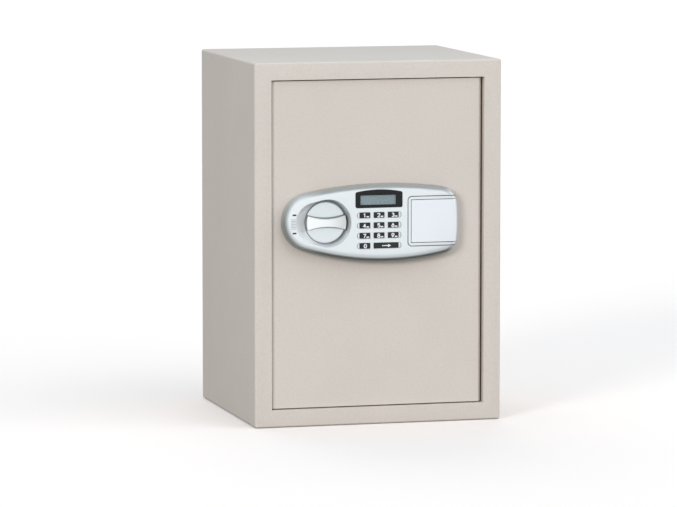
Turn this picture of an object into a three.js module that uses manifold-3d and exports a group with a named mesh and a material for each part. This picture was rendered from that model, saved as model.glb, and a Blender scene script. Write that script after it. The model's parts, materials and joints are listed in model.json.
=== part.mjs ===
// A free-standing in-room safe: a folded steel cabinet, an inset door on the right-hand hinge, two
// live bolts thrown by a turning knob, a solenoid blocker with a key override, and an oval panel.
// Millimetres. +X is to the right seen from the front, +Y towards the back, +Z up. The origin is the
// centre of the cabinet's footprint, on the floor. At rest the door is shut and the bolts are drawn.
import * as THREE from "three";
import { ConvexGeometry } from "three/addons/geometries/ConvexGeometry.js";
import { mergeVertices } from "three/addons/utils/BufferGeometryUtils.js";
import Module from "manifold-3d";

// Cabinet
const WIDTH = 350;
const DEPTH = 310;
const HEIGHT = 500;
const WALL = 2;
const FOLD_RADIUS = 2.5;
const BORDER = 24; // the folded frame round the door
const JAMB_DEPTH = 40; // how far the frame turns back into the cabinet
const ANCHOR_RADIUS = 6;
const ANCHOR_SPACING = 200;
const BACK_ANCHOR_Z = 390;
const SHELF_Z = 250;

// Door
const DOOR_RECESS = 4;
const DOOR_THICK = 4;
const DOOR_GAP = 1.6;
const HINGE_RADIUS = 12; // from the hinge axis to the door's rounded hinge edge
const HINGE_SETBACK = 10; // from the door's outer face to the hinge axis
const PIN_RADIUS = 4;
const SPINDLE_RADIUS = 5;
const BOLT_RADIUS = 9;
const BOLT_THROW = 18;
const BOLT_SPREAD = 110; // above and below the knob

// Panel, about the knob's axis
const PANEL_Z = 280.4;
const PANEL_PROUD = 18; // the panel's face in front of the door
const PANEL_SKIN = 2.5;
const PANEL_EDGE = { in: 7, deep: 9 }; // the elliptical rounding of the panel's rim
const PANEL_NOSE = { x: -96.3, raised: 0.9, radius: 40.85 };
const PANEL_CREST = { x: 7.8, above: 52.2, below: 55.8, cornerRadius: 23.5 };
const PANEL_END = 110.4;
const PANEL_END_BOW = { radius: 258, lowered: 1.8 };
const KNOB_X = -75.3;
const KNOB_RADIUS = 28.2;
const KNOB_PROUD = 13;
const DISH_FLOOR = 1.2; // the knob dish's floor in front of the door
const KEY = { wide: 14.6, high: 7.4, pitchX: 20.1, pitchZ: 14, middleX: -2.9, topZ: 9.7 };
const KEY_PROUD = 19.2;
const COVER = { left: 43, half: 29.1, thick: 2.5, endWall: 5, groove: 5.1, grooveWide: 1.2 };
const COVER_GAP = 0.9;
const WELL_FLOOR = 4.6; // high enough for the sliding cover to pass over the frame
const CABLE_HOLE = { z: 30, radius: 8 };
const OVERRIDE = { x: 58, z: -14, radius: 11 };

// Places worked out from those
const FRONT = -DEPTH / 2;
const BACK = DEPTH / 2;
const OPENING_X = WIDTH / 2 - BORDER;
const OPENING_LOW = BORDER;
const OPENING_HIGH = HEIGHT - BORDER;
const DOOR_FRONT = FRONT + DOOR_RECESS;
const DOOR_BACK = DOOR_FRONT + DOOR_THICK;
const DOOR_X = OPENING_X - DOOR_GAP;
const DOOR_LOW = OPENING_LOW + DOOR_GAP;
const DOOR_HIGH = OPENING_HIGH - DOOR_GAP;
const HINGE_X = DOOR_X - HINGE_RADIUS;
const HINGE_Y = DOOR_FRONT + HINGE_SETBACK;
const BOLT_Y = DOOR_BACK + 15;
const BOLT_TIP_X = -DOOR_X + 2.5;
const CRANK_RADIUS = BOLT_THROW / Math.SQRT2; // a quarter turn, 45 degrees either side of upright
const PLUNGER_X = 31;
const PLUNGER_Y = DOOR_BACK + 11;
const CLEARANCE = 0.3; // running clearance, and the gap left between fitted pieces

const wasm = await Module();
wasm.setup();

const finishes = {
  paint: { color: 0xd8d0ca, roughness: 0.55, metalness: 0.1 },
  silver: { color: 0xe3e8ea, roughness: 0.35, metalness: 0.4 },
  coverPlastic: { color: 0xe9eef4, roughness: 0.4, metalness: 0.1 },
  blackPlastic: { color: 0x14181a, roughness: 0.3, metalness: 0 },
  rubber: { color: 0x101010, roughness: 0.8, metalness: 0 },
  glass: { color: 0xcfe0e0, roughness: 0.05, metalness: 0 },
  display: { color: 0x8fa4a6, roughness: 0.3, metalness: 0 },
  steel: { color: 0xb9bcc0, roughness: 0.35, metalness: 0.9 },
  zinc: { color: 0xc9c6b4, roughness: 0.45, metalness: 0.8 },
  brass: { color: 0xb89a55, roughness: 0.35, metalness: 0.9 },
  felt: { color: 0x3a3b3e, roughness: 1, metalness: 0 },
  board: { color: 0x1e5b33, roughness: 0.6, metalness: 0 },
  cell: { color: 0x6d7478, roughness: 0.4, metalness: 0.5 },
  coil: { color: 0x2c3034, roughness: 0.6, metalness: 0.2 },
  red: { color: 0xb3201c, roughness: 0.4, metalness: 0 },
};
const materials = Object.fromEntries(
  Object.entries(finishes).map(([name, look]) => [name, new THREE.MeshStandardMaterial(look)]),
);

// Closed geometry to a manifold-3d solid, and back.
function solid(geometry) {
  const bare = geometry.index ? geometry.toNonIndexed() : geometry.clone();
  bare.deleteAttribute("normal");
  bare.deleteAttribute("uv");
  const merged = mergeVertices(bare, 1e-4);
  return new wasm.Manifold(
    new wasm.Mesh({
      numProp: 3,
      vertProperties: merged.attributes.position.array,
      triVerts: new Uint32Array(merged.index.array),
    }),
  );
}

function geometryOf(body) {
  const mesh = body.getMesh();
  const geometry = new THREE.BufferGeometry();
  geometry.setAttribute("position", new THREE.BufferAttribute(mesh.vertProperties, 3));
  geometry.setIndex(new THREE.BufferAttribute(mesh.triVerts, 1));
  geometry.computeVertexNormals();
  return geometry;
}

const cut = (body, ...tools) => tools.reduce((left, tool) => left.subtract(tool), body);
const join = (body, ...others) => others.reduce((sum, other) => sum.add(other), body);

// Building blocks, each a solid.
function box([x0, x1], [y0, y1], [z0, z1]) {
  const geometry = new THREE.BoxGeometry(x1 - x0, y1 - y0, z1 - z0);
  return solid(geometry.translate((x0 + x1) / 2, (y0 + y1) / 2, (z0 + z1) / 2));
}

function rodAlongY(x, z, radius, [y0, y1], sides = 24) {
  const geometry = new THREE.CylinderGeometry(radius, radius, y1 - y0, sides);
  return solid(geometry.translate(x, (y0 + y1) / 2, z));
}

function rodAlongZ(x, y, radius, [z0, z1], sides = 24) {
  const geometry = new THREE.CylinderGeometry(radius, radius, z1 - z0, sides);
  return solid(geometry.rotateX(Math.PI / 2).translate(x, y, (z0 + z1) / 2));
}

function rodAlongX(y, z, radius, [x0, x1], sides = 24) {
  const geometry = new THREE.CylinderGeometry(radius, radius, x1 - x0, sides);
  return solid(geometry.rotateZ(Math.PI / 2).translate((x0 + x1) / 2, y, z));
}

// A shape turned about +Z from radii and heights, starting and ending on the axis.
function turned(profile, sides) {
  const points = profile.map(([radius, height]) => new THREE.Vector2(radius, height));
  return new THREE.LatheGeometry(points, sides).rotateX(Math.PI / 2);
}

// A slab parallel to the door from an outline in X and Z.
function slab(outline, [front, back]) {
  const geometry = new THREE.ExtrudeGeometry(outline, { depth: back - front, bevelEnabled: false });
  return solid(geometry.rotateX(Math.PI / 2).translate(0, back, 0));
}

// The same slab with its front and back edges rounded inward, so many millimetres in and so many deep.
function roundedSlab(outline, [front, back], rim) {
  const geometry = new THREE.ExtrudeGeometry(outline, {
    depth: back - front - 2 * rim.deep,
    bevelSize: rim.in,
    bevelThickness: rim.deep,
    bevelOffset: -rim.in,
    bevelSegments: 5,
  });
  return solid(geometry.rotateX(Math.PI / 2).translate(0, back - rim.deep, 0));
}

function roundedRectangle(left, right, low, high, radius) {
  const shape = new THREE.Shape();
  shape.absarc(right - radius, low + radius, radius, -Math.PI / 2, 0);
  shape.absarc(right - radius, high - radius, radius, 0, Math.PI / 2);
  shape.absarc(left + radius, high - radius, radius, Math.PI / 2, Math.PI);
  shape.absarc(left + radius, low + radius, radius, Math.PI, (3 * Math.PI) / 2);
  return shape;
}

// Points along an arc, close enough that a chord strays from it by no more than the given sag.
function arcPoints(centre, radius, from, to, sag = 0.03) {
  const step = 2 * Math.acos(1 - sag / radius);
  const count = Math.ceil(Math.abs(to - from) / step);
  return Array.from({ length: count + 1 }, (_, i) => {
    const angle = from + ((to - from) * i) / count;
    return new THREE.Vector2(centre.x + radius * Math.cos(angle), centre.y + radius * Math.sin(angle));
  });
}

function mesh(name, body, finish) {
  const made = new THREE.Mesh(body.isBufferGeometry ? body : geometryOf(body), materials[finish]);
  made.name = name;
  return made;
}

// In front of the door, in the panel's own group: y is minus the distance proud of the door.
const proud = (low, high) => [-high, -low];

// ---- Cabinet ----

function bodyShell() {
  const outline = roundedRectangle(-WIDTH / 2, WIDTH / 2, 0, HEIGHT, FOLD_RADIUS + 0.5);
  const fold = { in: FOLD_RADIUS, deep: FOLD_RADIUS };
  const outside = cut(
    roundedSlab(outline, [FRONT, BACK + 2 * FOLD_RADIUS], fold),
    box([-WIDTH, WIDTH], [BACK, BACK + DEPTH], [-1, HEIGHT + 1]),
  );
  const inside = box([-WIDTH / 2 + WALL, WIDTH / 2 - WALL], [FRONT + WALL, BACK + 1], [WALL, HEIGHT - WALL]);
  const jamb = box(
    [-OPENING_X - WALL, OPENING_X + WALL],
    [FRONT + WALL / 2, FRONT + JAMB_DEPTH],
    [OPENING_LOW - WALL, OPENING_HIGH + WALL],
  );
  const opening = box(
    [-OPENING_X, OPENING_X],
    [FRONT - 1, FRONT + JAMB_DEPTH + 1],
    [OPENING_LOW, OPENING_HIGH],
  );
  const anchors = [-1, 1].map((side) =>
    rodAlongZ((side * ANCHOR_SPACING) / 2, 0, ANCHOR_RADIUS, [-1, WALL + 1]),
  );
  const pinHoles = [OPENING_LOW, OPENING_HIGH].map((z) =>
    rodAlongZ(HINGE_X, HINGE_Y, PIN_RADIUS + CLEARANCE, [z - 2 * WALL, z + 2 * WALL]),
  );
  const strikes = [-1, 1].map((side) => {
    const z = PANEL_Z + side * BOLT_SPREAD;
    const reach = BOLT_RADIUS + 1.5;
    const through = [-OPENING_X - 2 * WALL, -OPENING_X + 1];
    return box(through, [BOLT_Y - reach, BOLT_Y + reach], [z - reach, z + reach]);
  });
  const shell = join(cut(outside, inside), jamb, shelfRail(-1), shelfRail(1));
  return cut(shell, opening, ...anchors, ...pinHoles, ...strikes);
}

function backPanel() {
  const inner = WALL + CLEARANCE;
  const plate = box([-WIDTH / 2 + inner, WIDTH / 2 - inner], [BACK - WALL, BACK], [inner, HEIGHT - inner]);
  const holes = [-1, 1].map((side) =>
    rodAlongY((side * ANCHOR_SPACING) / 2, BACK_ANCHOR_Z, ANCHOR_RADIUS, [BACK - 2 * WALL, BACK + 1]),
  );
  return cut(plate, ...holes);
}

function floorMat() {
  const thick = 2;
  const mat = box([-165, 165], [-108, 148], [WALL + 0.1, WALL + 0.1 + thick]);
  const holes = [-1, 1].map((side) =>
    rodAlongZ((side * ANCHOR_SPACING) / 2, 0, 2 * ANCHOR_RADIUS, [WALL - 1, WALL + thick + 1]),
  );
  return cut(mat, ...holes);
}

function shelf() {
  const sheet = 1.5;
  const lip = 15;
  const [front, back] = [-100, 140];
  const half = WIDTH / 2 - WALL - 2;
  const top = [SHELF_Z - sheet, SHELF_Z];
  return join(
    box([-half, half], [front, back], top),
    box([-half, half], [front, front + sheet], [SHELF_Z - lip, SHELF_Z]),
    box([-half, half], [back - sheet, back], [SHELF_Z - lip, SHELF_Z]),
  );
}

// An angle welded to a side wall, its top leg under the shelf.
function shelfRail(side) {
  const sheet = 1.5;
  const leg = 16;
  const wall = side * (WIDTH / 2 - WALL / 2);
  const under = SHELF_Z - sheet - CLEARANCE;
  const span = (from, to) => [Math.min(from, to), Math.max(from, to)];
  const length = [-80, 120];
  return join(
    box(span(wall, wall - side * sheet), length, [under - leg, under]),
    box(span(wall, wall - side * leg), length, [under - sheet, under]),
  );
}

// A blanking plug for an anchor hole, on +Z: the head lies inside the cabinet, the shank fills the wall.
function anchorPlug() {
  const profile = [[0, 0.2], [ANCHOR_RADIUS - CLEARANCE, 0.2], [ANCHOR_RADIUS - CLEARANCE, WALL + CLEARANCE]];
  profile.push([9, WALL + CLEARANCE], [8, WALL + 2], [0, WALL + 2.4]);
  return turned(profile, 24);
}

// ---- Door ----

// The plate ends at the hinge in a rolled edge, concentric with the pin, so it turns inside its gap.
function doorPlate() {
  const rolled = HINGE_RADIUS - DOOR_THICK;
  const outerStart = -Math.asin((HINGE_Y - DOOR_FRONT) / HINGE_RADIUS);
  const innerStart = -Math.asin((HINGE_Y - DOOR_BACK) / rolled);
  const section = new THREE.Shape();
  section.moveTo(-DOOR_X, DOOR_FRONT);
  section.lineTo(HINGE_X, DOOR_FRONT);
  section.absarc(HINGE_X, HINGE_Y, HINGE_RADIUS, outerStart, 0);
  section.absarc(HINGE_X, HINGE_Y, rolled, 0, innerStart, true);
  section.lineTo(-DOOR_X, DOOR_BACK);
  const sheet = new THREE.ExtrudeGeometry(section, {
    depth: DOOR_HIGH - DOOR_LOW,
    bevelEnabled: false,
    curveSegments: 8,
  });
  const through = [DOOR_FRONT - 1, DOOR_BACK + 1];
  return cut(
    solid(sheet.translate(0, 0, DOOR_LOW)),
    rodAlongY(KNOB_X, PANEL_Z, SPINDLE_RADIUS + 2 * CLEARANCE, through),
    rodAlongY(OVERRIDE.x, PANEL_Z + OVERRIDE.z, OVERRIDE.radius + CLEARANCE, through),
    rodAlongY(KEY.middleX, PANEL_Z + CABLE_HOLE.z, CABLE_HOLE.radius, through),
  );
}

const INNER_COVER = { left: -143, right: 122, low: 60, high: 440, depth: 38, sheet: 1.2, flange: 13 };
const BATTERY_BAY = { left: 8, right: 76, low: 116, high: 184 };
const RESET = { x: 104, z: 300, radius: 4.5 };
const COVER_SCREWS = [[-110, -1], [100, -1], [-110, 1], [100, 1]].map(([x, side]) => ({
  x,
  z: side < 0 ? INNER_COVER.low - 6.5 : INNER_COVER.high + 6.5,
}));

// The pressed pan that closes the back of the door over the lock work.
function innerCover() {
  const { left, right, low, high, depth, sheet, flange } = INNER_COVER;
  const bay = BATTERY_BAY;
  const front = DOOR_BACK + CLEARANCE;
  const back = DOOR_BACK + depth;
  const pan = cut(
    box([left, right], [front, back], [low, high]),
    box([left + sheet, right - sheet], [front - 1, back - sheet], [low + sheet, high - sheet]),
  );
  const brim = cut(
    box([left, right], [front, front + sheet], [low - flange, high + flange]),
    box([left + sheet, right - sheet], [front - 1, front + 2 * sheet], [low + sheet, high - sheet]),
  );
  const boltHoles = [-1, 1].map((side) =>
    rodAlongX(BOLT_Y, PANEL_Z + side * BOLT_SPREAD, BOLT_RADIUS + 1.3, [left - 1, left + 2 * sheet]),
  );
  const screwHoles = COVER_SCREWS.map(({ x, z }) => rodAlongY(x, z, 2.5, [front - 1, front + 2 * sheet], 12));
  return cut(
    join(pan, brim),
    ...boltHoles,
    ...screwHoles,
    box([bay.left, bay.right], [back - 2 * sheet, back + 1], [bay.low, bay.high]),
    rodAlongY(RESET.x, RESET.z, RESET.radius + 0.5, [back - 2 * sheet, back + 1]),
  );
}

function coverScrew() {
  const head = DOOR_BACK + CLEARANCE + INNER_COVER.sheet + 0.1;
  return join(
    rodAlongY(0, 0, 4.5, [head, head + 2.4], 16),
    rodAlongY(0, 0, 2.1, [DOOR_BACK + 0.1, head + 1], 12),
  );
}

// A knuckle welded behind the door plate, on +Z from its own foot.
const HINGE_BLOCK = { high: 35, radius: 7.4 };
function hingeBlock() {
  const barrel = rodAlongZ(0, 0, HINGE_BLOCK.radius, [0, HINGE_BLOCK.high]);
  const plateBack = DOOR_BACK + 0.1 - HINGE_Y;
  return cut(
    barrel,
    rodAlongZ(0, 0, PIN_RADIUS + CLEARANCE, [-1, HINGE_BLOCK.high + 1]),
    box([-20, 20], [-20, plateBack], [-1, HINGE_BLOCK.high + 1]),
  );
}

const GUIDE = { x: -139, thick: 3, half: 18 };
function boltGuide(z) {
  const { x, thick, half } = GUIDE;
  const plate = box([x, x + thick], [DOOR_BACK + 0.1, BOLT_Y + BOLT_RADIUS + 4], [z - half, z + half]);
  return cut(plate, rodAlongX(BOLT_Y, z, BOLT_RADIUS + 0.4, [x - 1, x + thick + 1]));
}

// ---- Lock work ----

const CARRIAGE = {
  front: DOOR_BACK + 2,
  back: DOOR_BACK + 5,
  barLeft: -115,
  barRight: -97,
  armRight: 45,
  armLow: PANEL_Z - 20,
  armHigh: PANEL_Z + 24,
  overhang: 14, // how far the bar carries on past each bolt
};

function boltCarriage() {
  const { front, back, barLeft, barRight, armRight, armLow, armHigh, overhang } = CARRIAGE;
  const sheet = back - front;
  const reach = BOLT_SPREAD + overhang;
  const bar = box([barLeft, barRight], [front, back], [PANEL_Z - reach, PANEL_Z + reach]);
  const arm = box([barLeft, armRight], [front, back], [armLow, armHigh]);
  const tabs = [-1, 1].map((side) => {
    const z = PANEL_Z + side * BOLT_SPREAD;
    return box([barRight - sheet, barRight], [front, BOLT_Y + 9], [z - 11, z + 11]);
  });
  const through = [front - 1, back + 1];
  const spindleSlot = box([KNOB_X - 6, KNOB_X + BOLT_THROW + 6], through, [PANEL_Z - 6, PANEL_Z + 6]);
  const pinX = KNOB_X + BOLT_THROW / 2;
  const pinSlot = box([pinX - 3.8, pinX + 3.8], through, [PANEL_Z + 5, PANEL_Z + CRANK_RADIUS + 4]);
  return cut(join(bar, arm, ...tabs), spindleSlot, pinSlot);
}

// The plate welded on edge behind the carriage's arm, which the solenoid's plunger stands against.
function blockerLug() {
  const { front, back, armRight, armLow } = CARRIAGE;
  const weld = 0.05;
  const across = [armRight - (back - front), armRight];
  return box(across, [back + weld, BOLT_Y + 3], [armLow - 14, armLow + 12]);
}

// A round bolt with a chamfered nose, on +Z from its riveted end.
const BOLT_LENGTH = CARRIAGE.barRight - (CARRIAGE.back - CARRIAGE.front) - CLEARANCE - BOLT_TIP_X;
function liveBolt() {
  const chamfer = 1.5;
  const profile = [[0, 0], [BOLT_RADIUS, 0], [BOLT_RADIUS, BOLT_LENGTH - chamfer]];
  profile.push([BOLT_RADIUS - chamfer, BOLT_LENGTH], [0, BOLT_LENGTH]);
  return turned(profile, 24);
}

const CRANK = { front: DOOR_BACK + 6.5, back: DOOR_BACK + 10.5, radius: 17 };

function driveCrank() {
  const offset = CRANK_RADIUS / Math.SQRT2;
  const bore = rodAlongY(KNOB_X, PANEL_Z, SPINDLE_RADIUS + CLEARANCE, [CRANK.front - 1, CRANK.back + 1]);
  return cut(
    join(
      rodAlongY(KNOB_X, PANEL_Z, CRANK.radius, [CRANK.front, CRANK.back]),
      rodAlongY(KNOB_X + offset, PANEL_Z + offset, 3, [DOOR_BACK + 0.7, CRANK.front + 1], 16),
    ),
    bore,
  );
}

const SOLENOID = { left: PLUNGER_X - 12, right: PLUNGER_X + 12, low: PANEL_Z - 72, high: PANEL_Z - 40 };

function solenoidBody() {
  const { left, right, low, high } = SOLENOID;
  const frame = box([left, right], [PLUNGER_Y - 10.5, PLUNGER_Y + 10.5], [low, high]);
  const waist = [low + 3, high - 3];
  const sides = [left, right].map((x) => box([x - 2, x + 2], [PLUNGER_Y - 11, PLUNGER_Y + 11], waist));
  return cut(frame, ...sides, rodAlongZ(PLUNGER_X, PLUNGER_Y, 3 + CLEARANCE, [low + 3, high + 1]));
}

// The blocker: it rises in front of the carriage's lug. Its cross pin is what the override cam presses.
function solenoidPlunger() {
  const tip = PANEL_Z - 35;
  return join(
    rodAlongZ(PLUNGER_X, PLUNGER_Y, 3, [SOLENOID.low + 6, tip]),
    rodAlongY(PLUNGER_X, tip - 2, 1.5, [PLUNGER_Y, PLUNGER_Y + 14], 12),
  );
}

const LOCK_FACE = DOOR_FRONT - 10;
const LOCK_BACK = DOOR_BACK + 17;

function overrideLockBody() {
  const z = PANEL_Z + OVERRIDE.z;
  return cut(
    rodAlongY(OVERRIDE.x, z, OVERRIDE.radius, [LOCK_FACE, LOCK_BACK]),
    rodAlongY(OVERRIDE.x, z, 6 + CLEARANCE, [LOCK_FACE - 1, LOCK_BACK + 1]),
  );
}

function overridePlug() {
  const z = PANEL_Z + OVERRIDE.z;
  const key = { thick: 1.8, high: 7.2, deep: 8 };
  const keyway = box(
    [OVERRIDE.x - key.thick / 2, OVERRIDE.x + key.thick / 2],
    [LOCK_FACE - 1, LOCK_FACE + key.deep],
    [z - key.high / 2, z + key.high / 2],
  );
  return cut(
    join(
      rodAlongY(OVERRIDE.x, z, 6, [LOCK_FACE, LOCK_BACK]),
      rodAlongY(OVERRIDE.x, z, 4, [LOCK_BACK - 1, LOCK_BACK + 7], 16),
    ),
    keyway,
  );
}

// Turned a quarter, its tip comes down on the plunger's cross pin.
function overrideCam() {
  const z = PANEL_Z + OVERRIDE.z;
  const span = [LOCK_BACK + 3, LOCK_BACK + 5.5];
  const down = new THREE.Vector2(PLUNGER_X - OVERRIDE.x, -18);
  const tip = new THREE.Vector2(OVERRIDE.x + down.y, z - down.x);
  const arm = new THREE.BoxGeometry(down.length(), span[1] - span[0], 6);
  arm.rotateY(-Math.atan2(tip.y - z, tip.x - OVERRIDE.x));
  arm.translate((OVERRIDE.x + tip.x) / 2, (span[0] + span[1]) / 2, (z + tip.y) / 2);
  const hub = join(rodAlongY(OVERRIDE.x, z, 8, span), solid(arm), rodAlongY(tip.x, tip.y, 3, span, 16));
  return cut(hub, rodAlongY(OVERRIDE.x, z, 4 + CLEARANCE, [span[0] - 1, span[1] + 1], 16));
}

// ---- Electronics behind the door ----

function controlBoard() {
  const back = DOOR_BACK + INNER_COVER.depth - INNER_COVER.sheet - 1.6;
  const face = back - 1.6;
  return join(
    box([-60, 30], [face, back], [340, 410]),
    box([-40, -22], [face - 2, face + 1], [368, 386]),
    box([-8, 4], [face - 6, face + 1], [348, 356]),
    box([14, 22], [face - 9, face + 1], [388, 396]),
    box([-54, -48], [face - 4, face + 1], [350, 370]),
  );
}

const CELL = { radius: 7.1, length: 50, pitch: 14.9 };
const CELL_Y = DOOR_BACK + INNER_COVER.depth - 10.5;
const CELL_LOW = (BATTERY_BAY.low + BATTERY_BAY.high) / 2 - CELL.length / 2;
const cellX = (index) => (BATTERY_BAY.left + BATTERY_BAY.right) / 2 + (index - 1.5) * CELL.pitch;

function batteryBox() {
  const back = DOOR_BACK + INNER_COVER.depth - INNER_COVER.sheet - 0.5;
  const { left, right, low, high } = BATTERY_BAY;
  const tray = box([left + 1, right - 1], [back - 19, back], [low + 3, high - 3]);
  const half = CELL.radius + 0.2;
  const along = [CELL_LOW - 2, CELL_LOW + CELL.length + 3];
  const deep = [back - 17.5, back + 1];
  const slots = [0, 1, 2, 3].map((i) => box([cellX(i) - half, cellX(i) + half], deep, along));
  return cut(tray, ...slots);
}

function batteryCell() {
  const { radius, length } = CELL;
  const profile = [[0, 0], [radius, 0], [radius, length - 0.5], [2.6, length - 0.5]];
  profile.push([2.6, length + 0.8], [0, length + 0.8]);
  return turned(profile, 20);
}

function batteryLid() {
  const back = DOOR_BACK + INNER_COVER.depth;
  const { left, right, low, high } = BATTERY_BAY;
  const lid = box([left + 0.4, right - 0.4], [back - INNER_COVER.sheet, back + 0.4], [low + 0.4, high - 0.4]);
  const grip = rodAlongX(back + 0.4, low + 12, 3, [left + 20, right - 20], 16);
  return join(lid, cut(grip, box([left, right], [back - 10, back - 0.4], [low, high])));
}

function resetButton() {
  const back = DOOR_BACK + INNER_COVER.depth;
  return join(
    rodAlongY(RESET.x, RESET.z, RESET.radius, [back - 10, back + 2.5]),
    rodAlongY(RESET.x, RESET.z, RESET.radius + 2, [back - 4.5, back - 2.5]),
  );
}

function cableLoom() {
  const x = KEY.middleX;
  const path = new THREE.CatmullRomCurve3([
    new THREE.Vector3(x, DOOR_FRONT - 7.5, PANEL_Z + CABLE_HOLE.z),
    new THREE.Vector3(x, DOOR_BACK + 6, PANEL_Z + CABLE_HOLE.z),
    new THREE.Vector3(x - 8, DOOR_BACK + 18, PANEL_Z + 48),
    new THREE.Vector3(x - 12, DOOR_BACK + 20, PANEL_Z + 54),
  ]);
  const section = new THREE.Shape().absarc(0, 0, 2, 0, 2 * Math.PI);
  return solid(new THREE.ExtrudeGeometry(section, { extrudePath: path, steps: 24, bevelEnabled: false }));
}

// ---- Panel, in its own group ----

// Concentric arcs, so a larger inset gives the same outline all round: a round nose on the left, a
// long crest above and a deeper one below, rounded corners, and a slightly bowed right end.
function panelOutline(inset) {
  const corner = PANEL_CREST.cornerRadius;
  const bow = PANEL_END_BOW.radius;
  const angle = (from, to) => Math.atan2(to.y - from.y, to.x - from.x);
  const halves = [[1, PANEL_CREST.above], [-1, PANEL_CREST.below]].map(([side, high]) => {
    const nose = { x: PANEL_NOSE.x, y: side * PANEL_NOSE.raised, r: PANEL_NOSE.radius };
    const end = { x: PANEL_END - bow, y: -side * PANEL_END_BOW.lowered, r: bow };
    const reach = PANEL_CREST.x - nose.x;
    const rise = high - nose.y;
    const radius = (reach ** 2 + rise ** 2 - nose.r ** 2) / (2 * (rise - nose.r));
    const crest = { x: PANEL_CREST.x, y: high - radius, r: radius };
    const turn = { ...meet(crest, radius - corner, end, bow - corner), r: corner };
    const start = -Math.asin(end.y / bow);
    const stops = [start, angle(end, turn), angle(crest, turn), angle(crest, nose), Math.PI];
    return [end, turn, crest, nose]
      .flatMap((arc, i) => arcPoints(arc, arc.r - inset, stops[i], stops[i + 1]).slice(i && 1))
      .map((point) => new THREE.Vector2(point.x, side * point.y));
  });
  return new THREE.Shape([...halves[0], ...halves[1].slice(1, -1).reverse()]);
}

// The upper of the two points at the given distances from two centres.
function meet(a, fromA, b, fromB) {
  const gap = Math.hypot(b.x - a.x, b.y - a.y);
  const along = (fromA ** 2 - fromB ** 2 + gap ** 2) / (2 * gap);
  const aside = Math.sqrt(fromA ** 2 - along ** 2);
  const [ux, uy] = [(b.x - a.x) / gap, (b.y - a.y) / gap];
  const points = [1, -1].map((side) => ({
    x: a.x + along * ux - side * aside * uy,
    y: a.y + along * uy + side * aside * ux,
  }));
  return points[0].y > points[1].y ? points[0] : points[1];
}

// An egg-shaped outline of the knob's dish: a circle round the knob drawn out to a smaller one.
const DISH = { radius: 33, noseX: KNOB_X - 16.9, noseRaised: 0.8, noseRadius: 28.5 };
function dishOutline(inset, noseInset) {
  const round = { x: KNOB_X, y: 0, r: DISH.radius - inset };
  const nose = { x: DISH.noseX, y: DISH.noseRaised, r: DISH.noseRadius - noseInset };
  const away = Math.atan2(nose.y - round.y, nose.x - round.x);
  const open = Math.acos((round.r - nose.r) / Math.hypot(nose.x - round.x, nose.y - round.y));
  return [
    ...arcPoints(round, round.r, away + open - 2 * Math.PI, away - open),
    ...arcPoints(nose, nose.r, away - open, away + open),
  ];
}

// The dish falls steeply beside the knob and more gently at its nose, with a rounded foot.
function dish(growth, floor) {
  const deep = PANEL_PROUD - floor;
  const rings = [
    { at: PANEL_PROUD + 0.5, inset: 0, noseInset: 0 },
    { at: PANEL_PROUD, inset: 0, noseInset: 0 },
    { at: PANEL_PROUD - 0.35 * deep, inset: 0.8, noseInset: 2 },
    { at: floor + 0.3 * deep, inset: 1.7, noseInset: 4.2 },
    { at: floor + 0.09 * deep, inset: 2.5, noseInset: 6.6 },
    { at: floor, inset: 3.4, noseInset: 9.2 },
  ];
  const points = rings.flatMap(({ at, inset, noseInset }) =>
    dishOutline(inset - growth, noseInset - growth).map((point) => new THREE.Vector3(point.x, -at, point.y)),
  );
  return solid(new ConvexGeometry(points));
}

const BEZEL = { left: -36.5, right: 29.9, low: 19.9, high: 41.5, crown: 3.1 };
const WINDOW = { left: -29.8, right: 20.6, low: 24, high: 37.3 };

// The display bezel: a rounded rectangle with an arched top.
function bezelOutline(growth) {
  const left = BEZEL.left - growth;
  const right = BEZEL.right + growth;
  const low = BEZEL.low - growth;
  const high = BEZEL.high + growth;
  const corner = 3;
  const shape = new THREE.Shape();
  shape.moveTo(left + corner, low);
  shape.lineTo(right - corner, low);
  shape.quadraticCurveTo(right, low, right, low + corner);
  shape.lineTo(right, high - corner);
  shape.quadraticCurveTo(right, high, right - corner, high + 0.4);
  shape.quadraticCurveTo((left + right) / 2, high + 2 * BEZEL.crown, left + corner, high + 0.4);
  shape.quadraticCurveTo(left, high, left, high - corner);
  shape.lineTo(left, low + corner);
  shape.quadraticCurveTo(left, low, left + corner, low);
  return shape;
}

const keyRows = [0, 1, 2, 3].map((row) => KEY.topZ - row * KEY.pitchZ);
const keyColumns = [-1, 0, 1].map((column) => KEY.middleX + column * KEY.pitchX);
const keyPlaces = [];
for (let digit = 1; digit <= 9; digit += 1) {
  const row = Math.floor((digit - 1) / 3);
  keyPlaces.push({ name: `key_${digit}`, x: keyColumns[(digit - 1) % 3], z: keyRows[row], wide: KEY.wide });
}
keyPlaces.push({ name: "key_0", x: keyColumns[0], z: keyRows[3], wide: KEY.wide });
keyPlaces.push({
  name: "key_enter",
  x: (keyColumns[1] + keyColumns[2]) / 2,
  z: keyRows[3],
  wide: KEY.wide + KEY.pitchX,
});

// Fine ribs beside the dish, between the two marks that the grip points at.
const GRIP_PAD = { left: -127.8, right: -119.8, markLeft: -125.3, markZ: 12.5, ribs: 8, pitch: 2.1 };

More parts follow.
